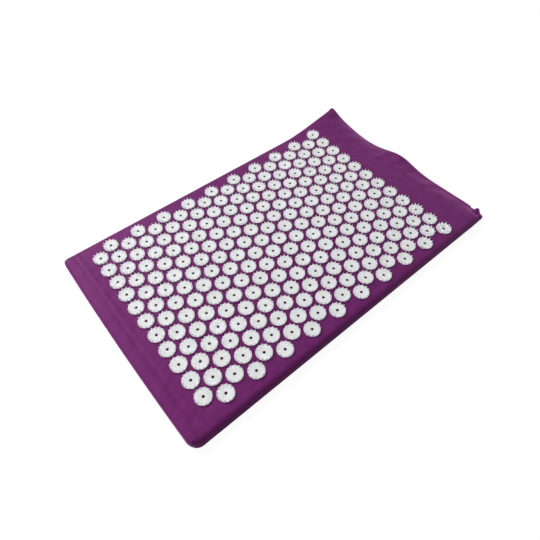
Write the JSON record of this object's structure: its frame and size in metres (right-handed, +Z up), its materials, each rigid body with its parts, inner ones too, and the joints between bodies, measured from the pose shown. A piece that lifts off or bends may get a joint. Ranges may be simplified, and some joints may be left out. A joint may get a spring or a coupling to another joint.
{
  "type": "acupressure mat",
  "caption": "Flat foam mat in a zipped purple cotton cover, its top set with staggered columns of white moulded spike discs for lying on.",
  "frame": {"origin": "on the floor, at the middle of the object's footprint", "axes": "+X along the mat from its closed end to its loose hem, +Y across it to the zipped side, +Z up"},
  "size_m": [0.701, 0.4362, 0.0441],
  "materials": {
    "cotton_cover": "matte plain-weave dyed cotton",
    "foam": "open-cell foam, matte",
    "disc_plastic": "satin moulded plastic",
    "zip_tape": "woven tape",
    "zip_coil": "dyed nylon coil",
    "zip_metal": "plated die casting"
  },
  "bodies": {
    "mat": {"foam_core": "foam", "cover_bottom_panel": "cotton_cover", "cover_top_panel": "cotton_cover", "spike_disc_column_01": "disc_plastic", "spike_disc_column_02": "disc_plastic", "spike_disc_column_03": "disc_plastic", "spike_disc_column_04": "disc_plastic", "spike_disc_column_05": "disc_plastic", "spike_disc_column_06": "disc_plastic", "spike_disc_column_07": "disc_plastic", "spike_disc_column_08": "disc_plastic", "spike_disc_column_09": "disc_plastic", "spike_disc_column_10": "disc_plastic", "spike_disc_column_11": "disc_plastic", "spike_disc_column_12": "disc_plastic", "spike_disc_column_13": "disc_plastic", "spike_disc_column_14": "disc_plastic", "spike_disc_column_15": "disc_plastic", "spike_disc_column_16": "disc_plastic", "spike_disc_column_17": "disc_plastic", "spike_disc_column_18": "disc_plastic", "spike_disc_column_19": "disc_plastic", "spike_disc_column_20": "disc_plastic", "zip_tape_upper": "zip_tape", "zip_tape_lower": "zip_tape", "zip_coil_upper": "zip_coil", "zip_coil_lower": "zip_coil", "zip_stop_closed_end": "zip_metal", "zip_stop_open_end": "zip_metal"},
    "slider": {"zip_slider": "zip_metal"},
    "pull": {"zip_pull_tab": "zip_metal"}
  },
  "joints": [
    {"name": "zip_slide", "type": "slide", "parent": "mat", "child": "slider", "axis": [1, 0, 0], "range_m": [0, 0.4145]},
    {"name": "pull_hinge", "type": "hinge", "parent": "slider", "child": "pull", "pos_m": [-0.30895, 0.21605, 0.0079], "axis": [0, 0, 1], "range_deg": [0, 180]}
  ]
}
